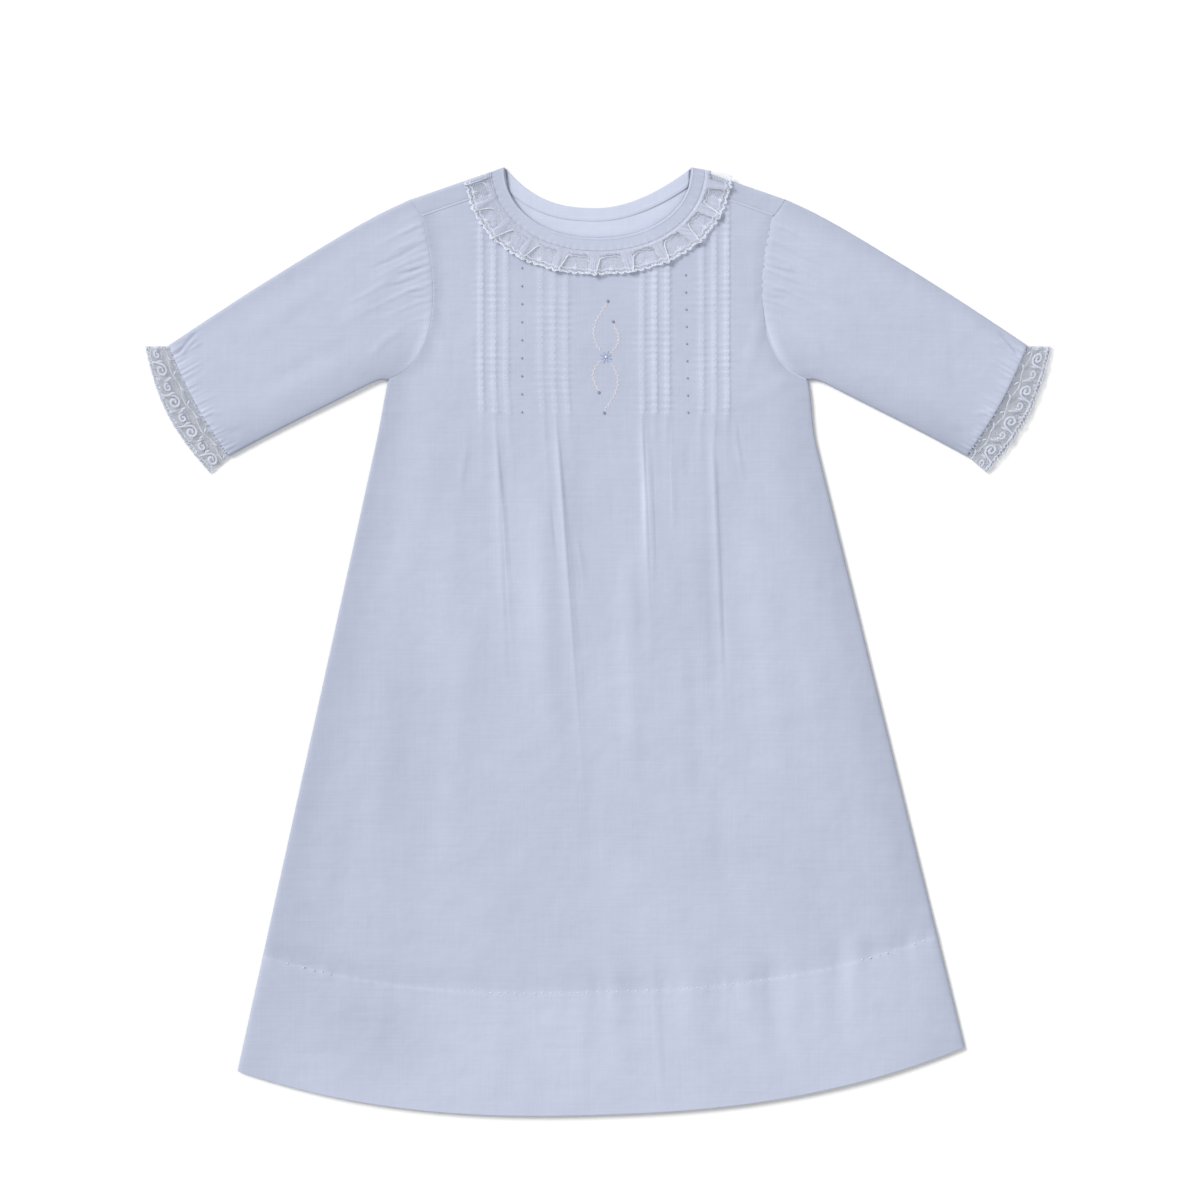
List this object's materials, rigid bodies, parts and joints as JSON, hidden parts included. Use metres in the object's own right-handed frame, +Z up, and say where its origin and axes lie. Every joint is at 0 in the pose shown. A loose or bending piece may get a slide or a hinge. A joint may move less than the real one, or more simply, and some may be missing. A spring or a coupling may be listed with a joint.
{
  "type": "baby daygown",
  "caption": "Baby's white batiste daygown, laid flat, with a pintucked front, gathered sleeves and gathered lace at the neck and cuffs.",
  "frame": {"origin": "middle of the gown's outline in plan, on the surface that it lies on", "axes": "+X across the gown towards the wearer's left sleeve, +Y from the hem to the neck, +Z up from the surface, out of the gown's front"},
  "size_m": [0.51, 0.5326, 0.0068],
  "materials": {
    "batiste": "fine plain-weave cotton batiste, pale cool white, matt",
    "lace": "white cotton net lace with corded scrolls and a scalloped edge"
  },
  "bodies": {
    "root": {"back": "batiste", "front": "batiste", "sleeve_left": "batiste", "sleeve_right": "batiste", "back_facing": "batiste", "neck_band": "batiste", "cuff_frill_left": "lace", "cuff_frill_right": "lace", "neck_frill": "lace"}
  },
  "joints": []
}
